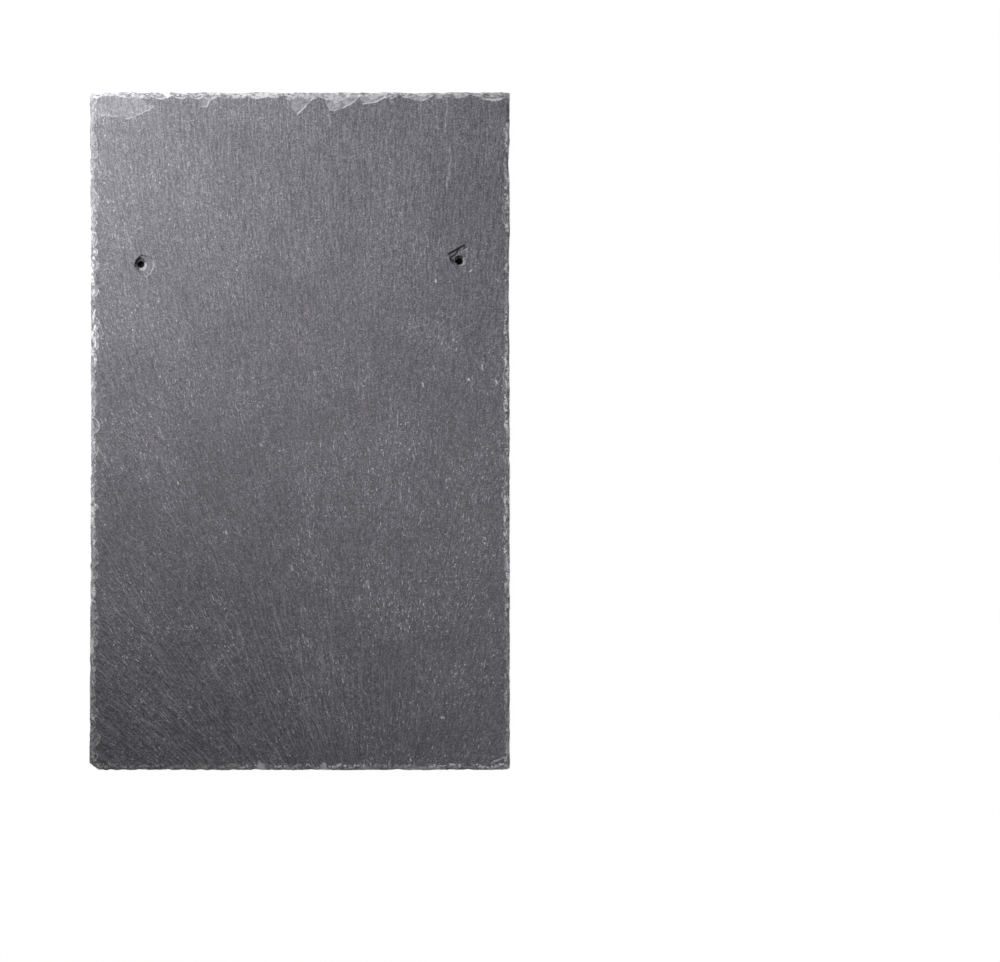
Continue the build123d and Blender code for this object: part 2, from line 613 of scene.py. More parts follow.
@dataclass
class SlateTile:
    """The tile: a slab of slate, split to a riven face and bed and dressed on four sides.

    Lengths in millimetres; the slab's own size comes from its node.

    Attributes:
        noise: what makes the stone uneven.
        dressing: how each side was dressed.
        flakes: layers split off the face at the head and the tail, and the seams in it.
        nail_holes: the two punched holes.
        corner_breaks: the corners that were knocked off.
        fan: how the split ran.
        wear: how the broken stone of the sides shows.
        grid: spacing of the face's grid before it is thinned.
        rim_band: width of the finer grid along the sides.
        flake_band: width of the finer grid along the edge of a flake.
        hole_band: reach of the finest grid round a hole.
        triangles: how many triangles stay after the slab is thinned.
        lamina: thickness of the layers that slate splits along.
        least_bevel: width of the narrowest slope along a side.
        bed_inset: how far the rim of the bed strays inwards.
        bed_lift: how far the rim of the bed is broken away.
        land_bite: how far the broken land strays inwards.
        least_land: least height of the arris over the bed.
        waves: depth and length of the faint waves of the split.
        hackles: depth, width and length of its hackles, the length in widths.
        pits: depth and width of its pits.
        grit: height of the grit on a broken slope.
        punch_sides: sides of the punch that drives a hole.
        corner_pale: how strongly a knocked-off corner is bruised.
        lee_shade: how dark the painted shade on the lee side of a bore is.
        sharp_angle: angle from which an edge is shaded sharp, in degrees.
        piece: the mesh object, once it is laid.
    """

    noise: StoneNoise
    dressing: dict[Side, Dressing]
    flakes: Sequence[Scar]
    nail_holes: Sequence[NailHole]
    corner_breaks: Sequence[CornerBreak]
    fan: SplitFan
    wear: Wear = Wear()
    grid: float = 1.75
    rim_band: float = 7.5
    flake_band: float = 2.2
    hole_band: float = 11.5
    triangles: int = 190_000
    lamina: float = 0.45
    least_bevel: float = 1.8
    bed_inset: float = 0.6
    bed_lift: float = 0.35
    land_bite: float = 0.35
    least_land: float = 0.5
    waves: tuple[float, float] = (0.16, 70.0)
    hackles: tuple[float, float, float] = (0.05, 3.2, 6.0)
    pits: tuple[float, float] = (0.03, 2.2)
    grit: float = 0.3
    punch_sides: int = 44
    corner_pale: float = 0.35
    lee_shade: float = 0.85
    sharp_angle: float = 38.0
    piece: bpy.types.Object = field(init=False)

    def __post_init__(self) -> None:
        """Takes the slab's size from its node."""
        low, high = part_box(TILE_NODE)
        self.low, self.high = np.array(low) / MM, np.array(high) / MM
        self.thickness = self.high[2]

    def build(self) -> bpy.types.Object:
        """Models the tile.

        Returns:
            The finished mesh object, without its finish.
        """
        self.lay_sheet()
        self.refine_sheet()
        self.split_slab()
        self.thin_slab()
        self.punch_holes()
        self.mark_broken_stone()
        return self.piece

    def lay_sheet(self) -> None:
        """Lays the face as one flat grid over the node's outline."""
        width, length = (self.high - self.low)[:2]
        bpy.ops.object.select_all(action="DESELECT")
        bpy.ops.mesh.primitive_grid_add(
            x_subdivisions=round(width / self.grid), y_subdivisions=round(length / self.grid), size=1
        )
        self.piece = bpy.context.object
        self.piece.name = self.piece.data.name = "riven_slate"
        middle = (self.low + self.high) / 2
        with editing(self.piece, "VERT"):
            bpy.ops.mesh.select_all(action="SELECT")
            bpy.ops.transform.resize(value=(width * MM, length * MM, 1))
            bpy.ops.transform.translate(value=(middle[0] * MM, middle[1] * MM, self.thickness * MM))

    def refine_sheet(self) -> None:
        """Divides the grid finer along the sides, along flakes and seams, and round the holes."""
        x, y, _ = face_middles(self.piece).T
        self.divide(self.near_break(x, y), 3)
        x, y, _ = face_middles(self.piece).T
        self.divide(self.near_hole(x, y), 5)

    def near_break(self, x: np.ndarray, y: np.ndarray) -> np.ndarray:
        """Tells which points lie along the sides or along a flake's edge.

        Args:
            x: X of the points.
            y: Y of the points.

        Returns:
            True for those points.
        """
        near = np.minimum.reduce([self.along_and_in(side, x, y)[1] for side in Side]) < self.rim_band
        for flake in self.flakes:
            near |= np.abs(flake.inside(x, y)) < self.flake_band
        return near

    def near_hole(self, x: np.ndarray, y: np.ndarray) -> np.ndarray:
        """Tells which points lie round a nail hole.

        Args:
            x: X of the points.
            y: Y of the points.

        Returns:
            True for those points.
        """
        return np.logical_or.reduce(
            [np.hypot(x - hole.middle[0], y - hole.middle[1]) < self.hole_band for hole in self.nail_holes]
        )

    def divide(self, chosen: np.ndarray, cuts: int) -> None:
        """Divides some faces.

        Args:
            chosen: one truth value for each face.
            cuts: new points on each of their edges.
        """
        select_faces(self.piece, chosen)
        with editing(self.piece):
            bpy.ops.mesh.subdivide(number_cuts=cuts, ngon=False)

    def split_slab(self) -> None:
        """Copies the sheet for the bed, carves both and joins them round the edge."""
        top = places(self.piece)
        with editing(self.piece):
            bpy.ops.mesh.select_all(action="SELECT")
            bpy.ops.mesh.duplicate()
            bpy.ops.transform.translate(value=(0, 0, -self.thickness * MM))
            bpy.ops.mesh.flip_normals()
        rows = places(self.piece)
        count = len(top)
        rows[:count] = self.carved_face(rows[:count])
        rows[count:] = self.carved_bed(rows[count:])
        put_places(self.piece, rows)
        with editing(self.piece, "EDGE"):
            bpy.ops.mesh.select_all(action="DESELECT")
            bpy.ops.mesh.select_non_manifold(extend=False, use_wire=False, use_multi_face=False,
                                             use_non_contiguous=False, use_verts=False)
            bpy.ops.mesh.bridge_edge_loops(number_cuts=3, interpolation="LINEAR")
        rows = places(self.piece)
        land = slice(2 * count, None)
        x, y, z = rows[land].T
        bite = self.land_bite * self.noise.rough(x + y, z * 2 + x * 0.3, 1.6, 3)
        rows[land, 0] -= np.sign(x) * bite * (np.abs(x) / self.high[0] > np.abs(y) / self.high[1])
        # X is a view of the rows, so a point beside a corner can now give way in Y as well
        rows[land, 1] -= np.sign(y) * bite * (np.abs(x) / self.high[0] <= np.abs(y) / self.high[1])
        put_places(self.piece, rows)

    def along_and_in(self, side: Side, x: np.ndarray, y: np.ndarray) -> tuple[np.ndarray, np.ndarray]:
        """Measures points along a side and in from it.

        Args:
            side: the side.
            x: X of the points.
            y: Y of the points.

        Returns:
            Distances along the side from its first corner, and in from it.
        """
        (ax, ay), (ix, iy) = side.value
        u = x - (self.low[0] if ax + ix > 0 else self.high[0])
        v = y - (self.low[1] if ay + iy > 0 else self.high[1])
        return u * ax + v * ay, u * ix + v * iy

    def side_length(self, side: Side) -> float:
        """Measures a side of the node's outline.

        Args:
            side: side to measure.

        Returns:
            Length in millimetres.
        """
        size = self.high - self.low
        return float(size[0] if side.value[0][0] else size[1])

    def chips(self, side: Side) -> np.ndarray:
        """Draws the chip scars of a side.

        Args:
            side: the side.

        Returns:
            One row for each scar: middle, width, reach, land and bite into the outline.
        """
        dressing = self.dressing[side]
        draw = np.random.default_rng(self.noise.seed + list(Side).index(side))
        rows, start = [], -dressing.chip_width
        while start < self.side_length(side) + dressing.chip_width:
            width = dressing.chip_width * draw.uniform(0.5, 1.6)
            reach = dressing.chip_reach * draw.uniform(0.6, 1.35)
            reach *= 0.6 + 0.4 * width / dressing.chip_width
            land = dressing.land * draw.uniform(0.75, 1.15)
            rows.append((start + width / 2, width, reach, land, dressing.wander * draw.uniform(0, 1)))
            start += width * draw.uniform(0.55, 0.85)
        return np.array(rows)

    def stray(self, side: Side, along: np.ndarray) -> np.ndarray:
        """Measures how far the arris of a side lies inside the node's outline.

        Args:
            side: the side.
            along: distances along it.

        Returns:
            Distances inwards, never negative.
        """
        dressing = self.dressing[side]
        shift = 200.0 * list(Side).index(side)
        share = np.clip(along / self.side_length(side), 0, 1)
        bow = dressing.hollow * np.sin(math.pi * share ** 0.8)
        for middle, half, deep in dressing.dents:
            bow = bow + deep * ramp(half, 0, np.abs(along - middle))
        nibbled = dressing.wander * self.noise.rough(along, np.full_like(along, shift), 2.6, 4)
        bites = np.zeros_like(along)
        for middle, width, _, _, bite in self.chips(side):
            bites = np.maximum(bites, bite * (1 - ((along - middle) / (width / 2)) ** 2))
        return np.maximum(bow + nibbled + bites - 0.5 * dressing.wander, 0)

    def bevel(self, side: Side, x: np.ndarray, y: np.ndarray) -> tuple[np.ndarray, np.ndarray]:
        """Height of the chip scars along a side, and where two of them meet.

        Args:
            side: the side.
            x: X of the points.
            y: Y of the points.

        Returns:
            Heights over the bed, above the face where no scar reaches, and how much higher the
            next scar lies.
        """
        dressing = self.dressing[side]
        along, inward = self.along_and_in(side, x, y)
        warp = 200.0 * list(Side).index(side)
        along = along + 3.0 * (self.noise.rough(x + warp, y, 4.5, 4) - 0.5)
        inward = inward + dressing.fray * (self.noise.rough(x - warp, y + 70, 3.0, 4) - 0.5)
        inward = np.maximum(inward, 0)
        rise = self.thickness - dressing.land
        height = dressing.land + rise * (inward / self.least_bevel) ** dressing.curve
        above = np.full_like(height, np.inf)
        for middle, width, reach, land, _ in self.chips(side):
            off = (along - middle) / (width / 2)
            scar = land + (self.thickness - land) * ((inward / reach) ** dressing.curve + 0.5 * off * off)
            scar = np.where(np.abs(off) < 1.6, scar, np.inf)
            above = np.minimum(above, np.maximum(height, scar))
            height = np.minimum(height, scar)
        return height, above - height

    def carved_face(self, rows: np.ndarray) -> np.ndarray:
        """Carves the face: its riven relief, flakes, burst holes and dressed sides.

        Args:
            rows: points of the flat sheet.

        Returns:
            Points of the face and of the bevel down to the arris.
        """
        x, y = rows[:, 0], rows[:, 1]
        drop = self.riven(x, y)
        for flake in self.flakes:
            drop = np.maximum(drop, flake.drop(x, y, self.noise))
        for hole in self.nail_holes:
            drop = np.maximum(drop, hole.drop(x, y, self.noise))
        rim = np.zeros_like(x)
        for side in Side:
            _, inward = self.along_and_in(side, x, y)
            near = inward < self.rim_band
            rim[near] = np.maximum(rim[near], self.thickness - self.bevel(side, x[near], y[near])[0])
        for broken in self.corner_breaks:
            side = self.low[0] if broken.hand < 0 else self.high[0]
            inward = broken.inward((side - x) * broken.hand, y - self.low[1])
            inward = inward + 0.8 * self.noise.rough(x, y, 1.5, 2)
            rim = np.maximum(rim, broken.depth * self.thickness * (1 - inward / broken.reach))
        rim = np.clip(rim, 0, self.thickness - self.least_land)
        for flake in self.flakes:
            if flake.spared:
                rim = rim * (1 - flake.spared * ramp(0, flake.step, flake.within(x, y, self.noise)))
        rim = np.where(rim > 0, self.laminated(rim, x, y), 0)
        depth = np.maximum(drop, rim)
        x, y = self.strayed(x, y)
        return np.column_stack((x, y, self.thickness - depth))

    def layers(self, depth: np.ndarray, x: np.ndarray, y: np.ndarray) -> tuple[np.ndarray, np.ndarray]:
        """Counts the thin layers that slate splits along, down to a depth.

        Args:
            depth: depths under the face.
            x: X of the points.
            y: Y of the points.

        Returns:
            Layers with their fractions, and how far they are shifted there.
        """
        shift = 0.7 * self.noise.rough(x, y, 3.5, 2) * ramp(0, 0.8, depth)
        return depth / self.lamina + shift, shift

    def laminated(self, depth: np.ndarray, x: np.ndarray, y: np.ndarray) -> np.ndarray:
        """Breaks a slope into layers.

        Args:
            depth: depths under the face.
            x: X of the points.
            y: Y of the points.

        Returns:
            Stepped depths.
        """
        layers, shift = self.layers(depth, x, y)
        whole = np.floor(layers)
        stepped = whole + ramp(0.05, 0.5, layers - whole) - shift
        grit = self.grit * (self.noise.rough(x * 1.3 + 31, y * 1.3, 1.1, 2) - 0.5)
        return np.clip(0.3 * depth + 0.7 * stepped * self.lamina + grit * ramp(0, 0.5, depth), 0, None)

    def strayed(self, x: np.ndarray, y: np.ndarray) -> tuple[np.ndarray, np.ndarray]:
        """Moves points near the sides in with the straying arris.

        Args:
            x: X of the points.
            y: Y of the points.

        Returns:
            The moved X and Y.
        """
        moved_x, moved_y = x.copy(), y.copy()
        for side in Side:
            along, inward = self.along_and_in(side, x, y)
            near = inward < self.rim_band
            pull = self.stray(side, along[near]) * (1 - inward[near] / self.rim_band) ** 2
            moved_x[near] += side.value[1][0] * pull
            moved_y[near] += side.value[1][1] * pull
        for broken in self.corner_breaks:
            side = self.low[0] if broken.hand < 0 else self.high[0]
            u, v = (side - moved_x) * broken.hand, moved_y - self.low[1]
            u, v = broken.pulled(u, v, 2.2 * max(broken.length, broken.height))
            moved_x, moved_y = side - u * broken.hand, self.low[1] + v
        return moved_x, moved_y

    def squared(self, x: np.ndarray, y: np.ndarray) -> tuple[np.ndarray, np.ndarray]:
        """Finds where points lay before they strayed.

        Args:
            x: X of the points.
            y: Y of the points.

        Returns:
            Their X and Y on the flat sheet.
        """
        square_x, square_y = x, y
        for _ in range(4):
            moved_x, moved_y = self.strayed(square_x, square_y)
            square_x, square_y = square_x + x - moved_x, square_y + y - moved_y
        return square_x, square_y

    def carved_bed(self, rows: np.ndarray) -> np.ndarray:
        """Carves the bed: a riven plane with a slightly broken rim.

        Args:
            rows: points of the flat sheet.

        Returns:
            Points of the bed.
        """
        x, y = rows[:, 0], rows[:, 1]
        lift = self.riven(x + 400, y + 300)
        moved_x, moved_y = self.strayed(x, y)
        for side in Side:
            along, inward = self.along_and_in(side, x, y)
            near = inward < self.rim_band
            pull = self.bed_inset * self.noise.rough(along[near] + 500, inward[near], 4, 3)
            pull = pull * (1 - inward[near] / self.rim_band) ** 2
            moved_x[near] += side.value[1][0] * pull
            moved_y[near] += side.value[1][1] * pull
            broken = self.bed_lift * ramp(1.2, 0, inward[near])
            lift[near] += broken * self.noise.rough(along[near], inward[near], 3, 2)
        return np.column_stack((moved_x, moved_y, lift))

    def riven(self, x: np.ndarray, y: np.ndarray) -> np.ndarray:
        """Relief of a split face: faint waves, and hackles that fan out from a focus past the tail.

        Args:
            x: X of the points.
            y: Y of the points.

        Returns:
            Depths in millimetres, never negative.
        """
        deep, length = self.waves
        waves = deep * self.noise.smooth(x, y, length)
        deep, width, length = self.hackles
        hackles = deep * self.noise.rough(self.fan.across(x, y), y / length, width, 3)
        deep, width = self.pits
        pits = deep * self.noise.rough(x * 1.1, y * 1.1, width, 2)
        return waves + hackles + pits

    def thin_slab(self) -> None:
        """Thins the bed and the plain of the face to the budget, and keeps the broken stone as it is."""
        mesh = self.piece.data
        mesh.calc_loop_triangles()
        ratio = self.triangles / len(mesh.loop_triangles)
        x, y, z = places(self.piece).T
        kept = (self.near_break(x, y) | self.near_hole(x, y)) & (z > 0.12 * self.thickness)
        group = self.piece.vertex_groups.new(name="plain")
        group.add([int(index) for index in np.nonzero(~kept)[0]], 1.0, "REPLACE")
        settings = {"ratio": ratio, "use_collapse_triangulate": True}
        settings |= {"vertex_group": "plain", "vertex_group_factor": 1.0}
        apply_modifier(self.piece, "DECIMATE", settings)
        self.piece.vertex_groups.remove(self.piece.vertex_groups["plain"])

    def punch_holes(self) -> None:
        """Drives a round punch through the slab at each nail hole."""
        for index, hole in enumerate(self.nail_holes):
            x, y = hole.middle
            bpy.ops.object.select_all(action="DESELECT")
            bpy.ops.mesh.primitive_cylinder_add(
                vertices=self.punch_sides, radius=hole.radius * MM, depth=4 * self.thickness * MM,
                location=(x * MM, y * MM, self.thickness / 2 * MM),
            )
            punch = bpy.context.object
            bpy.ops.object.transform_apply(location=True, rotation=True, scale=True)
            cut = {"operation": "DIFFERENCE", "object": punch, "solver": "EXACT"}
            apply_modifier(self.piece, "BOOLEAN", cut)
            bpy.data.objects.remove(punch)
            log.info("nail hole %d punched", index)

    def mark_broken_stone(self) -> None:
        """Marks each point for the finish: how bruised, bright, fresh or stained it is, where it gets a
        painted highlight and where painted shade.
        """
        x, y, z = places(self.piece).T
        mesh = self.piece.data
        normals = np.empty(len(mesh.vertices) * 3)
        mesh.vertices.foreach_get("normal", normals)
        normals = normals.reshape(-1, 3)
        x, y = self.squared(x, y)
        marks = {name: np.zeros_like(x) for name in MARKS}
        patchy = ramp(0.3, 0.52, self.noise.rough(x + 60, y, 5, 3))
        white = self.mark_flakes(marks, x, y, patchy)
        for hole in self.nail_holes:
            self.mark_hole(marks, hole, np.column_stack((x, y, z)), normals)
        for side in Side:
            self.mark_side(marks, side, np.column_stack((x, y, z)), normals[:, 2], patchy)
        marks["crest"] = np.maximum(marks["crest"], white)
        for broken in self.corner_breaks:
            side = self.low[0] if broken.hand < 0 else self.high[0]
            inward = broken.inward((side - x) * broken.hand, y - self.low[1])
            slope = ramp(broken.reach, 0.5 * broken.reach, inward)
            marks["pale"] = np.maximum(marks["pale"], self.corner_pale * slope)
        for name, values in marks.items():
            mesh.attributes.new(name, "FLOAT", "POINT").data.foreach_set("value", values.astype(np.float32))
        bpy.ops.object.select_all(action="DESELECT")
        self.piece.select_set(True)
        bpy.context.view_layer.objects.active = self.piece
        bpy.ops.object.shade_smooth_by_angle(angle=math.radians(self.sharp_angle))

    def mark_flakes(
        self, marks: dict[str, np.ndarray], x: np.ndarray, y: np.ndarray, patchy: np.ndarray
    ) -> np.ndarray:
        """Marks the fresh floors of the flakes and seams, and the painted highlight on their steps that face
        the upper left.

        Args:
            marks: marks so far, by name.
            x: X of the points on the flat sheet.
            y: Y of the points on the flat sheet.
            patchy: where the stone bruised.

        Returns:
            How white the palest floors are.
        """
        white = np.zeros_like(x)
        for flake in self.flakes:
            floor = flake.pale * np.clip(flake.drop(x, y, self.noise) / flake.depth, 0, 1)
            # The walls' first share is the painted highlight on steps that face the upper left, towards the
            # key lamp
            bruised, _ = flake.walls(x, y, self.noise)
            marks["fresh"] = np.maximum(marks["fresh"], floor)
            marks["pale"] = np.maximum(marks["pale"], 0.5 * floor)
            marks["crest"] = np.maximum(marks["crest"], patchy * bruised)
            white = np.maximum(white, floor - 1)
        return white

    def mark_hole(
        self, marks: dict[str, np.ndarray], hole: NailHole, points: np.ndarray, normals: np.ndarray
    ) -> None:
        """Marks the painted highlight on the walls round a nail hole that face the upper left, and the
        painted shade on those that face away and on the lee side of the bore.

        Args:
            marks: marks so far, by name.
            hole: the hole.
            points: the points, with X and Y on the flat sheet.
            normals: which way each point faces.
        """
        u, v = points[:, 0] - hole.middle[0], points[:, 1] - hole.middle[1]
        # Points that face the upper left, towards the key lamp, get a painted highlight, and those that face
        # away get painted shade
        lit = (normals[:, 1] - normals[:, 0]) / math.sqrt(2)
        depth = self.thickness - points[:, 2]
        dished = ramp(hole.dish * 1.5, hole.dish * 1.2, np.hypot(u, v)) * ramp(0.4, 0.8, depth)
        crest = np.maximum(marks["crest"], hole.crest * dished * ramp(0.15, 0.45, lit))
        shade = np.maximum(marks["shade"], hole.wall_shade * dished * ramp(0.1, 0.35, -lit))
        for ledge in hole.ledges:
            bruised, shaded_wall = ledge.walls(u, v, self.noise)
            floor = np.clip(ledge.drop(u, v, self.noise) / ledge.depth, 0, 1)
            crest = np.maximum(crest, hole.crest * 2 * bruised * (1 - dished))
            marks["fresh"] = np.maximum(marks["fresh"], ledge.pale * floor)
            shade = np.maximum(shade, hole.wall_shade * shaded_wall)
        # The innermost ledge is last: its lee side stays in the dark and gets painted shade
        lee = ramp(0.5, 2.2, u * hole.lee[0] + v * hole.lee[1])
        marks["crest"] = crest
        marks["shade"] = np.maximum(shade, self.lee_shade * lee * floor)

    def mark_side(
        self, marks: dict[str, np.ndarray], side: Side, points: np.ndarray, up: np.ndarray, patchy: np.ndarray
    ) -> None:
        """Marks the broken stone of a side: bruised chips, their bright crests, painted glints and cream.

        Args:
            marks: marks so far, by name.
            side: the side.
            points: the points, with X and Y on the flat sheet.
            up: how far each point faces up.
            patchy: where the stone bruised.
        """
        x, y, z = points.T
        rough, wear, dressing = self.noise.rough, self.wear, self.dressing[side]
        along, inward = self.along_and_in(side, x, y)
        height, gap = self.bevel(side, x, y)
        chip = self.thickness - height
        # Chip depths as millimetres from the upper edge of a usual scar
        slope = (self.thickness - dressing.land) * dressing.curve / dressing.chip_reach
        below, apart = chip / slope, gap / slope
        broken = ramp(0.1, 0.4, below) * (inward < self.rim_band) * ramp(*wear.lit, up)
        worn = wear.least + (1 - wear.least) * ramp(0, dressing.clean_run, along)
        # Shifts of X and of the distance along keep the noises of different marks apart
        layers, _ = self.layers(chip, x, y)
        part = layers - np.floor(layers)
        deep = ramp(0.4, 1.0, below)
        line = ramp(0, 0.25, below) * ramp(1.2, 0.5, below)
        ridge = wear.ridge * ramp(0.6, 0.1, apart) * deep
        layer = wear.layer * ramp(0.0, 0.12, part) * ramp(0.5, 0.3, part) * deep
        lines = dressing.crest * patchy * np.maximum(line, np.maximum(ridge, layer))
        lines = lines * (wear.least_line + (1 - wear.least_line) * worn)
        lines = lines * ramp(0.3, 0.5, rough(x + 90, y, wear.line_break, 2))
        crest = np.maximum(marks["crest"] * (1 - broken), lines * broken)
        marks["crest"] = np.where(broken > 0, crest, marks["crest"])
        bruise = worn * dressing.pale * broken * (0.5 + 0.5 * ramp(wear.bruise_reach, 0.5, inward))
        marks["pale"] = np.maximum(marks["pale"], bruise)
        # Painted highlights: glints of broken grains in a lane along the side
        flashes = ramp(0.48, 0.56, rough(along * 6 / dressing.chip_width + 40, inward, wear.flash, 2))
        sway = dressing.lane + wear.sway * rough(along, np.full_like(along, 900), 5, 3)
        lane = ramp(*wear.lane, np.abs(inward - sway))
        lane = lane * (0.3 + 0.7 * ramp(0.4, 0.56, rough(along, np.full_like(along, 700), 9, 3)))
        marks["glint"] = np.maximum(marks["glint"], worn * dressing.glint * flashes * lane)
        reach = wear.stain_reach * (rough(x + 20, y, 4.5, 3) - 0.45)
        stained = worn * dressing.cream * ramp(0.25, 0.5, rough(x + 50, y, 1.5, 2))
        stained = stained * ramp(reach + wear.stain_edge, reach - wear.stain_edge, inward)
        ragged = z + wear.stain_drip * (rough(1.5 * along, 3 * z, 1.2, 2) - 0.5)
        marks["cream"] = np.maximum(marks["cream"], stained * ramp(*wear.stain_foot, ragged))


def add_node(
    tree: bpy.types.NodeTree,
    kind: str,
    settings: dict[str, Any],
    inputs: dict[str | int, Any],
) -> bpy.types.Node:
    """Adds a node with its settings and links.

    Args:
        tree: node tree that gets it.
        kind: Blender's name for the node.
        settings: values of the node's own properties.
        inputs: for each input, by name or number, a value or another node's output.

    Returns:
        The new node.
    """
    node = tree.nodes.new(kind)
    for name, value in settings.items():
        setattr(node, name, value)
    for name, value in inputs.items():
        if isinstance(value, Socket):
            tree.links.new(value, node.inputs[name])
        else:
            node.inputs[name].default_value = value
    return node


@dataclass(frozen=True)
class RivenSlate:
    """Riven roofing slate: clay stone split by hand along its cleavage, left raw.

    It is a dull blue-grey with a faint satin sheen, drawn with fine streaks that fan out
    from the split, sprinkled with pale mineral specks, and bruised pale where it was broken.
    Its colour also holds painted glints, painted highlights on walls that face the upper left
    and painted shade on walls that face away.
    Sizes in millimetres. The grain, streaks and specks of real slate are finer than a pixel,
    so they are drawn as coarse as they need to be to show.

    Attributes:
        fan: how the split ran.
        dark: the stone at its darkest.
        light: the stone at its lightest.
        fresh: stone that the split or a flake laid bare.
        bruise: stone that a blow crushed.
        cream: the stain on the broken edges.
        painted_shade: painted shade, for the walls that face away from the key lamp and the lee side of a
            bore.
        speck: mineral specks.
        spark: painted glints, the highlights of broken grains.
        rust: the few rusty specks.
        worm_width: width of the short streaks.
        streak_width: width of the long streaks.
        dash_width: width of the pale dashes.
        hair_spacing: distance between the hair lines.
        hair_width: how far from a noise's middle a hair line fades out.
        hackle_length: length of the hackles.
        hackle_widths: width of the hackles near the focus, and far from it.
        wave_size: length of the waves in the streaks.
        wave: how far those waves swing.
        grain_size: size of the grain.
        mottle_size: size of the mottling along the hair lines.
        crumble: how strong the finer sizes in each noise are.
        layer_size: length of the layers seen in a chip.
        layer_height: height of those layers.
        cloud_size: size of the faint clouds.
        speck_spacing: distance between the specks.
        speck_radius: radius of the largest.
        dust_spacing: distance between the finer specks.
        dust_radius: radius of the largest of those.
        worm_relief: height of the short streaks.
        grain_relief: height of the grain.
        roughness: least and greatest roughness.
        ior: index of refraction.
    """

    fan: SplitFan
    dark: str = "#39373e"
    light: str = "#95949b"
    fresh: str = "#b4b3b8"
    bruise: str = "#e4e3e7"
    cream: str = "#f4efe9"
    painted_shade: str = "#1b1a1d"
    speck: str = "#e2e1e9"
    spark: str = "#f6f6fa"
    rust: str = "#d8bfb4"
    worm_width: float = 1.0
    streak_width: float = 1.1
    dash_width: float = 0.74
    hair_spacing: float = 3.5
    hair_width: float = 0.008
    hackle_length: float = 30.0
    hackle_widths: tuple[float, float] = (3.2, 1.3)
    wave_size: float = 6.0
    wave: float = 1.2
    grain_size: float = 0.85
    mottle_size: float = 1.2
    crumble: float = 0.6
    layer_size: float = 2.6
    layer_height: float = 0.55
    cloud_size: float = 38.0
    speck_spacing: float = 5.5
    speck_radius: float = 0.6
    dust_spacing: float = 2.6
    dust_radius: float = 0.42
    worm_relief: float = 0.12
    grain_relief: float = 0.1
    roughness: tuple[float, float] = (0.52, 0.74)
    ior: float = 1.55

    def material(self) -> bpy.types.Material:
        """Builds the finish.

        Returns:
            The material.
        """
        made = bpy.data.materials.new("riven_slate")
        made.use_nodes = True
        tree = made.node_tree
        tree.nodes.clear()
        place = add_node(tree, "ShaderNodeTexCoord", {}, {}).outputs["Object"]
        drawn = self.patterns(tree, place)
        stone = self.coloured(tree, place, drawn, self.strengths(tree, place, drawn))
        bump = add_node(
            tree, "ShaderNodeBump", {},
            {"Height": drawn["worms"], "Distance": self.worm_relief * MM, "Strength": 1.0},
        ).outputs[0]
        bump = add_node(
            tree, "ShaderNodeBump", {},
            {"Height": drawn["grain"], "Distance": self.grain_relief * MM, "Strength": 1.0, "Normal": bump},
        ).outputs[0]
        smoothest, roughest = self.roughness
        gloss = add_node(
            tree, RANGE, {}, {"Value": drawn["grain"], "To Min": smoothest, "To Max": roughest}
        ).outputs[0]
        surface = add_node(
            tree, "ShaderNodeBsdfPrincipled", {},
            {"Base Color": stone, "Roughness": gloss, "IOR": self.ior, "Normal": bump},
        ).outputs[0]
        add_node(tree, "ShaderNodeOutputMaterial", {}, {"Surface": surface})
        return made

    def patterns(self, tree: bpy.types.NodeTree, place: Socket) -> dict[str, Socket]:
        """Draws the patterns of the stone.

        Args:
            tree: node tree that gets the nodes.
            place: Object coordinates.

        Returns:
            The patterns, by name.
        """
        waves = add_node(
            tree, NOISE, {}, {"Vector": place, "Scale": 1 / (self.wave_size * MM), "Detail": 2.0}
        ).outputs["Color"]
        waves = add_node(
            tree, VECTOR_MATH, {"operation": "SUBTRACT"}, {0: waves, 1: (0.5, 0.5, 0.5)}
        ).outputs[0]
        swing = (2 * self.wave * MM, 2 * self.wave * MM, 0.0)
        wavy = add_node(
            tree, VECTOR_MATH, {"operation": "MULTIPLY_ADD"}, {0: waves, 1: swing, 2: place}
        ).outputs[0]
        flattened = (1.0, 1.0, self.layer_size / self.layer_height)
        bedding = add_node(
            tree, VECTOR_MATH, {"operation": "MULTIPLY"}, {0: place, 1: flattened}
        ).outputs[0]
        drawn = {
            "worms": self.streaked(tree, wavy, self.worm_width, 1),
            "streaks": self.streaked(tree, wavy, self.streak_width, 4),
        }
        for name, spot, size, detail in (
            ("grain", place, self.grain_size, 1.0),
            ("clouds", place, self.cloud_size, 3.0),
            ("mottle", place, self.mottle_size, 3.0),
            ("laminae", bedding, self.layer_size, 2.0),
        ):
            scale = 1 / (size * MM)
            drawn[name] = add_node(
                tree, NOISE, {},
                {"Vector": spot, "Scale": scale, "Detail": detail, "Roughness": self.crumble},
            ).outputs["Fac"]
        off = self.streaked(tree, wavy, self.hair_spacing, 2)
        for operation, value in (("SUBTRACT", 0.5), ("ABSOLUTE", 0.0)):
            off = add_node(tree, MATH, {"operation": operation}, {0: off, 1: value}).outputs[0]
        # Each row: name, noise, its values where the marks end and where they are full, and both strengths
        for name, *row in (
            ("dashes", self.streaked(tree, wavy, self.dash_width, 1), 0.572, 0.648, 0.0, 1.0),
            ("hairs", off, self.hair_width, 0.0, 0.0, 1.0),
            ("hackles", self.hackled(tree, wavy), 0.58, 0.7, 0.0, 1.0),
        ):
            drawn[name] = add_node(tree, RANGE, SOFT, dict(zip(RANGE_INPUTS, row))).outputs[0]
        return drawn

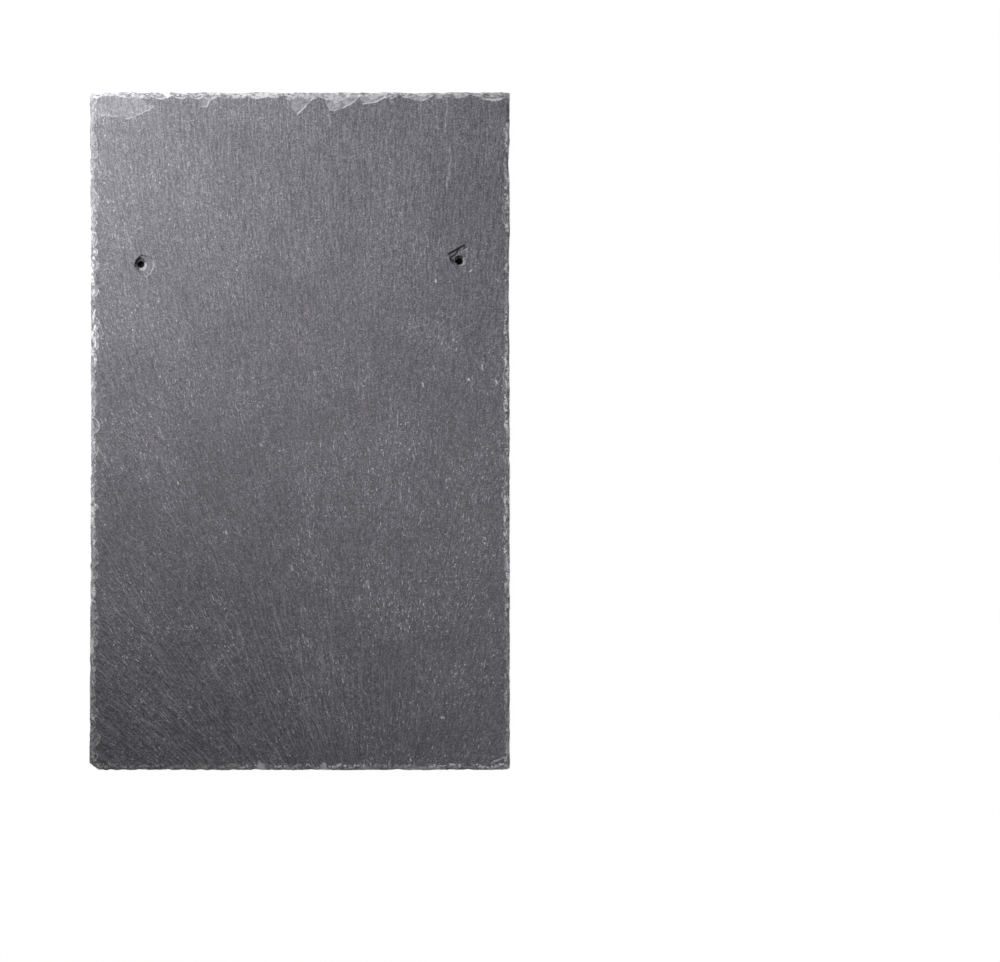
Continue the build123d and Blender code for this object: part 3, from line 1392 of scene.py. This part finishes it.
    def strengths(
        self, tree: bpy.types.NodeTree, place: Socket, drawn: dict[str, Socket]
    ) -> dict[str, Socket]:
        """Works out how strongly each pattern shows in each part of the tile.

        Args:
            tree: node tree that gets the nodes.
            place: Object coordinates.
            drawn: the patterns, by name.

        Returns:
            The strengths, by name.
        """
        right, up, _ = add_node(tree, "ShaderNodeSeparateXYZ", {}, {0: place}).outputs
        turn = add_node(tree, MATH, {"operation": "MULTIPLY"}, {0: right, 1: up}).outputs[0]
        off_middle = up
        for operation, value in (("ADD", 0.03), ("ABSOLUTE", 0.0)):
            off_middle = add_node(
                tree, MATH, {"operation": operation}, {0: off_middle, 1: value}
            ).outputs[0]
        shown = {}
        # Each row: name, value, its range, with places in metres, and the strengths at both ends of it
        for name, *row in (
            ("faded", up, -0.2, 0.15, 1.0, 0.48),
            ("clusters", drawn["clouds"], 0.42, 0.6, 0.6, 1.5),
            ("lengthened", off_middle, 0.0, 0.2, 1.2, 3.8),
            ("toward_left", up, -0.2, 0.0, -9.0, 0.0),
            ("chipped", drawn["laminae"], 0.44, 0.56, 0.05, 1.15),
            ("broken_up", drawn["grain"], 0.3, 0.55, 0.4, 1.0),
            ("glinting", drawn["grain"], 0.37, 0.48, 0.1, 1.0),
            ("beads", drawn["mottle"], 0.42, 0.6, 0.0, 0.75),
            ("at_tail", up, -0.15, 0.05, 0.45, 0.0),
            ("at_left", right, -0.02, 0.1, 1.0, 0.25),
        ):
            shown[name] = add_node(tree, RANGE, SOFT, dict(zip(RANGE_INPUTS, row))).outputs[0]
        for name, operation, *row in (
            ("contrast", "MULTIPLY_ADD", turn, 7.0, 0.9),
            ("flecked", "MULTIPLY", shown["faded"], shown["clusters"]),
            ("drawn_out", "MULTIPLY_ADD", right, shown["toward_left"], shown["lengthened"]),
            ("split", "MULTIPLY", shown["at_tail"], shown["at_left"]),
        ):
            shown[name] = add_node(
                tree, MATH, {"operation": operation}, dict(enumerate(row))
            ).outputs[0]
        return shown

    def coloured(
        self,
        tree: bpy.types.NodeTree,
        place: Socket,
        drawn: dict[str, Socket],
        shown: dict[str, Socket],
    ) -> Socket:
        """Colours the stone, pattern over pattern.

        Args:
            tree: node tree that gets the nodes.
            place: Object coordinates.
            drawn: the patterns, by name.
            shown: their strengths, by name.

        Returns:
            The colour.
        """
        marks = {
            name: add_node(tree, "ShaderNodeAttribute", {"attribute_name": name}, {}).outputs["Fac"]
            for name in MARKS
        }
        tone: Any = 0.0
        for name, weight in (
            ("worms", 1.33),
            ("streaks", shown["drawn_out"]),
            ("grain", 1.3),
            ("clouds", 0.3),
        ):
            off = add_node(tree, MATH, {"operation": "SUBTRACT"}, {0: drawn[name], 1: 0.5}).outputs[0]
            tone = add_node(
                tree, MATH, {"operation": "MULTIPLY_ADD"}, {0: off, 1: weight, 2: tone}
            ).outputs[0]
        # The power makes light grains stand out more than dark ones, as they do in riven slate
        for operation, *row in (("MULTIPLY_ADD", shown["contrast"], 1.0), ("POWER", 2.2), ("MULTIPLY", 0.5)):
            tone = add_node(
                tree, MATH, {"operation": operation}, dict(enumerate((tone, *row)))
            ).outputs[0]
        tone = add_node(
            tree, MATH, {"operation": "MULTIPLY_ADD"}, {0: marks["fresh"], 1: 0.8, 2: tone}
        ).outputs[0]
        specks = self.speckled(tree, place, self.speck_spacing, self.speck_radius, 1.4)
        dust = self.speckled(tree, place, self.dust_spacing, self.dust_radius, 0.65)
        rusty = self.speckled(tree, place, 2 * self.speck_spacing, self.speck_radius, 0.8)
        stone: Any = to_linear(self.dark)
        for share, strength, colour in (
            (tone, 1.0, self.light),
            (drawn["dashes"], shown["flecked"], self.speck),
            (drawn["hackles"], shown["split"], self.fresh),
            (drawn["hairs"], shown["beads"], self.fresh),
            (marks["pale"], shown["chipped"], self.bruise),
            # The glints are painted highlights
            (marks["glint"], shown["glinting"], self.spark),
            # Bright lines along the chips, and painted highlights on the walls and dishes that face the upper
            # left
            (marks["crest"], shown["broken_up"], self.bruise),
            (marks["cream"], 0.75, self.cream),
            # Painted shade on the walls that face away from the upper left and on the lee side of the nail
            # holes
            (marks["shade"], 0.9, self.painted_shade),
            (specks, shown["flecked"], self.speck),
            (dust, shown["flecked"], self.speck),
            (rusty, shown["flecked"], self.rust),
        ):
            share = add_node(tree, MATH, {"operation": "MULTIPLY"}, {0: share, 1: strength}).outputs[0]
            stone = add_node(
                tree, "ShaderNodeMix", {"data_type": "RGBA", "clamp_factor": True},
                {0: share, 6: stone, 7: to_linear(colour)},
            ).outputs[2]
        return stone

    def streaked(self, tree: bpy.types.NodeTree, place: Socket, size: float, steps: int) -> Socket:
        """Draws a noise out along the streaks of the split, which keeps them equally wide all over.

        Args:
            tree: node tree that gets the nodes.
            place: Object coordinates.
            size: width of a streak, in millimetres.
            steps: how many widths it is drawn out to either side.

        Returns:
            Values about 0.5.
        """
        across, out = self.from_focus(tree, place)
        bend = out
        for operation, value in (("DIVIDE", self.fan.reach * MM), ("POWER", 3.0)):
            bend = add_node(tree, MATH, {"operation": operation}, {0: bend, 1: value}).outputs[0]
        bend = add_node(tree, MATH, {"operation": "SUBTRACT"}, {0: 1.0, 1: bend}).outputs[0]
        lean = add_node(tree, MATH, {"operation": "DIVIDE"}, {0: across, 1: out}).outputs[0]
        lean = add_node(tree, MATH, {"operation": "MULTIPLY"}, {0: lean, 1: bend}).outputs[0]
        way = add_node(tree, "ShaderNodeCombineXYZ", {}, {0: lean, 1: 1.0}).outputs[0]
        way = add_node(tree, VECTOR_MATH, {"operation": "NORMALIZE"}, {0: way}).outputs[0]
        drawn: Any = 0.0
        share, scale = 1 / (2 * steps + 1), 1 / (size * MM)
        for step in range(-steps, steps + 1):
            stride = (step * size * MM,) * 3
            spot = add_node(
                tree, VECTOR_MATH, {"operation": "MULTIPLY_ADD"}, {0: way, 1: stride, 2: place}
            ).outputs[0]
            grain = add_node(
                tree, NOISE, {},
                {"Vector": spot, "Scale": scale, "Detail": 1.0, "Roughness": self.crumble},
            ).outputs["Fac"]
            drawn = add_node(
                tree, MATH, {"operation": "MULTIPLY_ADD"}, {0: grain, 1: share, 2: drawn}
            ).outputs[0]
        return drawn

    def from_focus(self, tree: bpy.types.NodeTree, place: Socket) -> tuple[Socket, Socket]:
        """Measures points from the focus of the split.

        Args:
            tree: node tree that gets the nodes.
            place: Object coordinates.

        Returns:
            Distances to the right of the focus, and up from it.
        """
        focus = (self.fan.focus[0] * MM, self.fan.focus[1] * MM, 0.0)
        off = add_node(tree, VECTOR_MATH, {"operation": "SUBTRACT"}, {0: place, 1: focus}).outputs[0]
        axes = add_node(tree, "ShaderNodeSeparateXYZ", {}, {0: off}).outputs
        return axes[0], axes[1]

    def hackled(self, tree: bpy.types.NodeTree, place: Socket) -> Socket:
        """Draws the long hackles of the split, which fan out as SplitFan.across measures them.

        Args:
            tree: node tree that gets the nodes.
            place: Object coordinates.

        Returns:
            Values about 0.5: those of wide hackles near the focus, of narrow ones far from it.
        """
        across, out = self.from_focus(tree, place)
        width = out
        for operation, value in (
            ("DIVIDE", self.fan.reach * MM),
            ("POWER", 3.0),
            ("DIVIDE", -3.0),
            ("EXPONENT", 0.0),
            ("MULTIPLY", out),
        ):
            width = add_node(tree, MATH, {"operation": operation}, {0: width, 1: value}).outputs[0]
        across = add_node(tree, MATH, {"operation": "DIVIDE"}, {0: across, 1: width}).outputs[0]
        along = add_node(
            tree, MATH, {"operation": "DIVIDE"}, {0: out, 1: self.hackle_length * MM}
        ).outputs[0]
        layers = []
        for size in self.hackle_widths:
            count = add_node(
                tree, MATH, {"operation": "MULTIPLY"}, {0: across, 1: self.fan.middle / size}
            ).outputs[0]
            spot = add_node(tree, "ShaderNodeCombineXYZ", {}, {0: count, 1: along, 2: size}).outputs[0]
            layers.append(
                add_node(
                    tree, NOISE, {},
                    {"Vector": spot, "Scale": 1.0, "Detail": 1.0, "Roughness": self.crumble},
                ).outputs["Fac"]
            )
        # Wide hackles change over to narrow ones between these distances from the focus, in metres
        row = (out, 0.15, 0.33, 0.0, 1.0)
        far = add_node(tree, RANGE, SOFT, dict(zip(RANGE_INPUTS, row))).outputs[0]
        return add_node(
            tree, "ShaderNodeMix", {"data_type": "FLOAT"}, {0: far, 2: layers[0], 3: layers[1]}
        ).outputs[0]

    def speckled(
        self, tree: bpy.types.NodeTree, place: Socket, spacing: float, radius: float, strength: float
    ) -> Socket:
        """Scatters pale mineral specks of uneven size and strength.

        Args:
            tree: node tree that gets the nodes.
            place: Object coordinates.
            spacing: usual distance between specks.
            radius: radius of the largest.
            strength: how pale the palest is.

        Returns:
            The share of the speck's colour.
        """
        cells = add_node(
            tree, "ShaderNodeTexVoronoi", {"voronoi_dimensions": "2D"},
            {"Vector": place, "Scale": 1 / (spacing * MM), "Randomness": 1.0},
        ).outputs
        dice = add_node(tree, "ShaderNodeSeparateColor", {}, {0: cells["Color"]}).outputs
        edge = add_node(
            tree, MATH, {"operation": "MULTIPLY"}, {0: dice[0], 1: radius / spacing}
        ).outputs[0]
        core = add_node(tree, MATH, {"operation": "MULTIPLY"}, {0: edge, 1: 0.4}).outputs[0]
        row = (cells["Distance"], edge, core, 0.0, strength)
        spot = add_node(tree, RANGE, SOFT, dict(zip(RANGE_INPUTS, row))).outputs[0]
        return add_node(tree, MATH, {"operation": "MULTIPLY"}, {0: spot, 1: dice[1]}).outputs[0]


@dataclass(frozen=True)
class Lamp:
    """A soft rectangular lamp. Lengths in metres.

    Attributes:
        name: what the lamp does.
        place: where it stands.
        aim: where it points.
        size: length of its sides.
        watts: its power.
        spread: how wide its beam is, in degrees.
    """

    name: str
    place: tuple[float, float, float]
    aim: tuple[float, float, float]
    size: float
    watts: float
    spread: float = 180.0

    def hang(self) -> None:
        """Adds the lamp, out of the camera's sight."""
        data = bpy.data.lights.new(self.name, "AREA")
        data.size, data.energy, data.spread = self.size, self.watts, math.radians(self.spread)
        lamp = bpy.data.objects.new(self.name, data)
        lamp.location = self.place
        beam = Vector(self.aim) - Vector(self.place)
        lamp.rotation_euler = beam.to_track_quat("-Z", "Y").to_euler()
        lamp.visible_camera = False
        bpy.context.scene.collection.objects.link(lamp)


@dataclass(frozen=True)
class Studio:
    """A white table under soft lamps, and a camera that looks straight down at it.

    Attributes:
        lamps: the soft lamps.
        ambient: strength of the even light from all round.
        photo_width: width of the picture, in pixels.
        photo_middle: middle of the picture, in pixels.
        tile_middle: middle of the tile in the picture, in pixels.
        tile_width: width of the tile in the picture, in pixels.
        lens: focal length, in millimetres.
        floor_size: length of the table's sides, in metres.
        floor_drop: how far the table lies under the tile, in millimetres.
        floor_glow: how bright the table looks to the camera.
        floor_shade: how strongly it shows the tile's shadow.
        floor_grey: how much light it throws back at the tile.
        pad_margin: how far the pad stays inside the tile's outline, in millimetres.
        pad_drop: how far the pad lies under the tile, in millimetres.
        pad_colour: the pad's colour.
    """

    lamps: Sequence[Lamp]
    ambient: float = 0.047
    photo_width: float = 1000.0
    photo_middle: tuple[float, float] = (500.0, 481.0)
    tile_middle: tuple[float, float] = (299.8, 431.2)
    tile_width: float = 420.2
    lens: float = 200.0
    floor_size: float = 12.0
    floor_drop: float = 0.2
    floor_glow: float = 0.98
    floor_shade: float = 0.10
    floor_grey: float = 0.8
    pad_margin: float = 6.0
    pad_drop: float = 0.1
    pad_colour: str = "#343434"

    def build(self) -> None:
        """Sets up the table, the light and the camera."""
        bpy.context.scene.view_settings.view_transform = "Standard"
        self.lay_table()
        self.lay_pad()
        for lamp in self.lamps:
            lamp.hang()
        world = bpy.data.worlds.new("soft_room")
        bpy.context.scene.world = world
        world.use_nodes = True
        sky = world.node_tree.nodes["Background"].inputs
        sky["Strength"].default_value = self.ambient
        sky["Color"].default_value = (1, 1, 1, 1)
        self.place_camera()

    def lay_table(self) -> None:
        """Lays the white table, which glows to the camera alone and keeps a faint shadow."""
        bpy.ops.object.select_all(action="DESELECT")
        bpy.ops.mesh.primitive_plane_add(size=self.floor_size, location=(0, 0, -self.floor_drop * MM))
        table = bpy.context.object
        table.name = "table"
        made = bpy.data.materials.new("white_table")
        made.use_nodes = True
        tree = made.node_tree
        tree.nodes.clear()
        path = add_node(tree, "ShaderNodeLightPath", {}, {}).outputs
        seen = path["Is Camera Ray"]
        for ray in ("Is Glossy Ray", "Is Transmission Ray"):
            seen = add_node(tree, MATH, {"operation": "MAXIMUM"}, {0: seen, 1: path[ray]}).outputs[0]
        matt, faint = (
            add_node(tree, "ShaderNodeBsdfDiffuse", {}, {"Color": (grey, grey, grey, 1)}).outputs[0]
            for grey in (self.floor_grey, self.floor_shade)
        )
        glow = add_node(tree, "ShaderNodeEmission", {}, {"Strength": self.floor_glow}).outputs[0]
        white = add_node(tree, "ShaderNodeAddShader", {}, {0: faint, 1: glow}).outputs[0]
        both = add_node(tree, "ShaderNodeMixShader", {}, {0: seen, 1: matt, 2: white}).outputs[0]
        add_node(tree, "ShaderNodeOutputMaterial", {}, {"Surface": both})
        table.data.materials.append(made)

    def lay_pad(self) -> None:
        """Lays a dark pad under the tile as painted shade, hidden but for the dark that its nail holes look
        into.
        """
        low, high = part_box(TILE_NODE)
        bpy.ops.object.select_all(action="DESELECT")
        bpy.ops.mesh.primitive_plane_add(size=1, location=(0, 0, -self.pad_drop * MM))
        pad = bpy.context.object
        pad.name = "pad"
        margin = 2 * self.pad_margin * MM
        pad.scale = (high[0] - low[0] - margin, high[1] - low[1] - margin, 1)
        # Painted shade: a matt dark sheet, so that a nail hole looks into the dark and not onto the white
        # table
        made = bpy.data.materials.new("painted_shade_pad")
        made.use_nodes = True
        made.node_tree.nodes.clear()
        colour = to_linear(self.pad_colour)
        felt = add_node(made.node_tree, "ShaderNodeBsdfDiffuse", {}, {"Color": colour}).outputs[0]
        add_node(made.node_tree, "ShaderNodeOutputMaterial", {}, {"Surface": felt})
        pad.data.materials.append(made)

    def place_camera(self) -> None:
        """Hangs the camera straight over the middle of the picture, square to the tile."""
        low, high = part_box(TILE_NODE)
        metres = (high[0] - low[0]) / self.tile_width
        data = bpy.data.cameras.new("camera")
        data.lens = self.lens
        distance = metres * self.photo_width * self.lens / data.sensor_width
        camera = bpy.data.objects.new("camera", data)
        camera.location = (
            (low[0] + high[0]) / 2 + (self.photo_middle[0] - self.tile_middle[0]) * metres,
            (low[1] + high[1]) / 2 - (self.photo_middle[1] - self.tile_middle[1]) * metres,
            low[2] + distance,
        )
        bpy.context.scene.collection.objects.link(camera)
        bpy.context.scene.camera = camera


# Chips of each side, in millimetres: the head was dressed coarsest, the tail finest
DRESSING = {
    Side.HEAD: Dressing(
        chip_width=12.0, chip_reach=4.0, land=3.2, curve=0.8, wander=0.6,
        pale=0.85, cream=0.7, crest=1.0, glint=0.3,
    ),
    Side.TAIL: Dressing(
        chip_width=6.5, chip_reach=3.4, land=3.4, curve=0.18, wander=0.55,
        pale=0.14, cream=0.5, crest=0.6, glint=1.5,
    ),
    Side.LEFT: Dressing(
        chip_width=11.0, chip_reach=5.0, land=3.0, curve=0.4, wander=0.55,
        pale=0.3, cream=1.0, crest=1.0, glint=0.9, hollow=0.8, clean_run=130.0,
    ),
    Side.RIGHT: Dressing(
        chip_width=9.0, chip_reach=3.6, land=4.6, curve=0.8, wander=0.35,
        pale=0.2, cream=0.75, crest=0.7, glint=1.8, fray=0.7, lane=0.4,
        dents=((361.0, 13.0, 0.9), (280.0, 60.0, 0.4)),
    ),
}
CORNER_BREAKS = (CornerBreak(-1, 4.8, 4.2, 4.0), CornerBreak(1, 1.6, 1.4, 2.0))

# Layers split off at the edges, in millimetres from the tile's middle
FLAKES = (
    Scar(
        ((-130, 206), (-130, 187), (-115, 187.2), (-108.5, 186.6), (-105.8, 185.4), (-102.3, 185.4),
         (-97.4, 186.9), (-88.2, 191.7), (-85.1, 193.7), (-90.6, 194.9), (-94.2, 198.1), (-96, 206)),
        depth=0.5, fall=0.012, fall_to=(0.6, -0.8), step=0.35, pale=0.2, crest=0.45,
    ),
    Scar(((-62, 206), (-59.4, 192.7), (-54.6, 192.7), (-52.6, 197.7), (-52, 206)), depth=0.4, fall=0.03,
         fall_to=(1.0, 0.0), step=0.4, pale=0.2),
    Scar(((-8.9, 206), (-7.5, 194), (-1.4, 187.7), (7.8, 197), (8.2, 206)), depth=0.45, fall=0.06,
         fall_to=(0.8, -0.3), step=0.35, rag=0.25, pale=0.35, crest=0.9),
    Scar(
        ((14.4, 206), (14.4, 198.8), (15.6, 193.6), (17.4, 190.5), (21, 190.3), (26.1, 191.8), (31.7, 194.9),
         (34.9, 197.5), (36, 206)),
        depth=0.5, fall=0.03, fall_to=(0.7, -0.7), step=0.35, rag=0.3, pale=0.5, crest=0.8,
    ),
    Scar(((14.6, 206), (15.4, 199.4), (20.6, 194.4), (26.4, 197.4), (31.4, 199.4), (32, 206)), depth=0.8,
         step=0.35, rag=0.3, pale=0.65, crest=0.7),
    Scar(((35.3, 206), (35.3, 197.3), (37.5, 194), (45.8, 195.5), (52.4, 199.2), (53, 206)), depth=0.45,
         fall=0.04, fall_to=(0.7, -0.7), step=0.35, rag=0.3, pale=0.55, crest=0.9),
    Scar(((-26.2, -206), (-25, -198), (-24.4, -194.8), (-20.8, -197.6), (-18, -206)), depth=0.4, pale=1.8,
         spared=0.85),
    Scar(((12.2, -206), (13.2, -197), (15.8, -196.4), (17, -206)), depth=0.4, pale=1.9, spared=0.85),
    Scar(((57, -206), (57.5, -199.2), (62, -198), (70, -199.4), (78, -198.4), (83.6, -199.6), (84, -206)),
         depth=0.35, pale=0.6),
    Scar(((112.9, -206), (112.9, -197.8), (117.9, -194.4), (123, -192.4), (130, -192.4), (130, -206)),
         depth=0.3),
    Scar(((-130, -206), (-130, -186), (-121.2, -188), (-119.8, -193.5), (-114.4, -201), (-114, -206)),
         depth=0.7, step=1.6),
)

# Pale seams and flecks in the face, in millimetres from the tile's middle: path, width and paleness
SEAMS = tuple(Scar.seam(*row) for row in (
    (((85.6, 199.1), (87.1, 196.1), (87.6, 194.1), (86.3, 186.2), (86.1, 177.2)), 1.0, 0.6),
    (((88.8, 170.2), (88.2, 167.3), (89.1, 162.3), (87.7, 151.4), (86.6, 147.4), (86.9, 143.4)), 1.8, 0.4),
    (((16.0, 188.3), (17.4, 184.2), (16.6, 180.2)), 1.9, 0.35),
    (((-103.8, 120.0), (-102.1, 114.9), (-100.9, 111.8), (-100.6, 108.0)), 1.0, 0.35),
    (((-105.0, 89.8), (-104.0, 84.7), (-103.4, 79.7)), 0.9, 0.35),
    (((-6.8, -137.8), (-3.2, -153.4), (1.6, -161.7), (8.7, -172.4), (14.7, -184.4)), 0.8, 0.45),
    (((-102.8, -154.2), (-93.8, -160.5), (-86.0, -166.0)), 1.1, 0.4),
    (((-54.4, -139.0), (-44.9, -151.0), (-34.2, -164.0)), 0.8, 0.3),
    (((-84.6, 3.0), (-81.1, -5.4)), 1.5, 0.4),
    (((-119.2, -11.3), (-113.8, -22.0)), 1.3, 0.6),
    (((-52.2, 28.0), (-50.4, 20.3)), 0.8, 0.35),
    (((-80.2, 32.2), (-79.0, 27.4)), 0.8, 0.5),
    (((-37.8, -56.7), (-31.9, -68.0)), 0.7, 0.35),
    (((-71.2, -34.0), (-66.5, -40.0)), 0.9, 0.4),
    (((93.4, 3.0), (95.2, -1.8)), 0.8, 0.35),
    (((97.6, -55.5), (95.8, -60.9)), 0.9, 0.4),
    (((111.6, -197.6), (116.6, -195.0), (121.0, -192.8)), 3.4, 1.9),
    (((79.9, 90.4), (80.4, 88.0)), 1.5, 1.8),
    (((100.3, 94.4), (101.5, 96.1)), 1.5, 2.0),
    (((116.6, 90.8), (118.2, 88.0)), 0.9, 1.5),
    (((107.9, 39.6), (108.3, 36.0)), 1.0, 1.2),
    (((115.8, 30.6), (117.2, 27.9)), 1.2, 2.0),
    (((99.6, 31.6), (99.9, 30.0)), 1.4, 1.9),
    (((72.4, 29.2), (73.3, 25.7)), 1.0, 1.25),
    (((79.0, 40.0), (79.9, 36.4)), 0.9, 0.8),
    (((66.5, -13.7), (67.9, -16.7)), 1.1, 1.3),
    (((81.4, -40.6), (82.2, -43.6)), 1.0, 1.1),
    (((88.4, -27.4), (88.6, -29.0)), 1.3, 1.5),
    (((61.6, -24.4), (60.2, -30.4), (59.6, -38.0), (60.0, -44.0)), 0.8, 0.4),
    (((83.6, -169.6), (84.2, -171.2)), 2.6, 1.5),
    (((65.0, -194.4), (65.8, -196.4)), 1.4, 1.9),
    (((-44.6, -59.1), (-43.7, -61.5)), 1.1, 1.5),
    (((-5.7, -79.4), (-4.5, -82.9)), 1.0, 1.2),
    (((-23.4, -7.6), (-23.2, -9.2)), 1.5, 1.5),
))

LEFT_HOLE = NailHole(
    mount="nail_hole_left",
    ledges=(
        Scar(
            ((1.0, 5.9), (-1.0, 5.0), (-2.8, 3.0), (-3.6, 0.5), (-3.5, -1.6), (-1.5, -4.6), (3.5, -8.2),
             (6.2, -5.2), (8.1, 0.0), (6.8, 3.2), (4.0, 5.0)),
            depth=1.0, fall=0.03, fall_to=(-0.7, 0.7), step=0.7, rag=0.6,
        ),
        Scar(((0.6, 4.6), (-2.4, 3.4), (-3.4, 0.8), (-3.2, -1.6), (0.2, -3.6), (3.2, -2.6), (3.6, 1.4)),
             depth=1.9, fall=0.1, fall_to=(-0.7, 0.7), step=0.5, rag=0.4),
    ),
    dish=3.9, dish_to=(0.7, -0.7), funnel_depth=2.6, crest=0.48, wall_shade=0.4, lee=(0.0, 1.0),
)
RIGHT_HOLE = NailHole(
    mount="nail_hole_right",
    ledges=(
        Scar(
            ((-7.1, 4.5), (3.1, 10.0), (5.3, 8.5), (5.0, 6.0), (4.6, 2.5), (3.3, 1.0), (2.0, -2.6),
             (-2.0, -2.6), (-4.4, -1.8), (-5.2, -0.6), (-5.8, 2.2)),
            depth=1.0, fall=0.07, fall_to=(-0.47, 0.88), step=0.3, rag=0.15,
        ),
        Scar(((1.6, 6.2), (2.8, 8.4), (5.0, 8.2), (4.5, 6.4)), depth=1.1, step=0.4, rag=0.2, pale=1.0),
        Scar(
            ((-6.0, 2.0), (-3.0, 4.2), (-1.6, 6.0), (-1.1, 7.8), (1.0, 6.9), (1.4, 4.4), (3.0, 2.2),
             (2.4, -1.6), (-3.2, -2.0), (-4.1, -1.4), (-4.2, 1.2)),
            depth=1.9, step=0.3, rag=0.2,
        ),
        Scar(
            ((-2.8, 1.8), (-1.8, 3.2), (0.6, 3.6), (2.4, 3.0), (2.6, 0.0), (1.4, -2.2), (-1.6, -2.2),
             (-2.8, -1.2)),
            depth=3.2, step=0.5, rag=0.2,
        ),
    ),
    dish=3.4, dish_to=(0.8, -0.3), funnel_depth=2.4, crest=0.25, wall_shade=1.0, lee=(-0.1, 1.0),
)

LAMPS = (
    Lamp("key", (-0.403, 0.289, 0.462), (-0.348, 0.402, 0.0), 0.10, 4.5, 143.0),
    Lamp("second_key", (-0.936, 1.075, 1.122), (0.298, -0.163, 0.0), 0.20, 0.28, 19.3),
    Lamp("fill", (0.60, -0.50, 0.60), (0.05, -0.05, 0.0), 0.50, 0.61),
)


def main() -> None:
    """Builds the tile, dresses it and sets up the studio."""
    logging.basicConfig(level=logging.INFO, format="%(name)s: %(message)s")
    fan = SplitFan()
    tile = SlateTile(StoneNoise(7), DRESSING, FLAKES + SEAMS, (LEFT_HOLE, RIGHT_HOLE), CORNER_BREAKS, fan)
    piece = tile.build()
    piece.data.materials.append(RivenSlate(fan).material())
    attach(piece, "root")
    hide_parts(TILE_NODE)
    log.info("%s: %d faces", piece.name, len(piece.data.polygons))
    Studio(LAMPS).build()


if __name__ == "__main__":
    main()
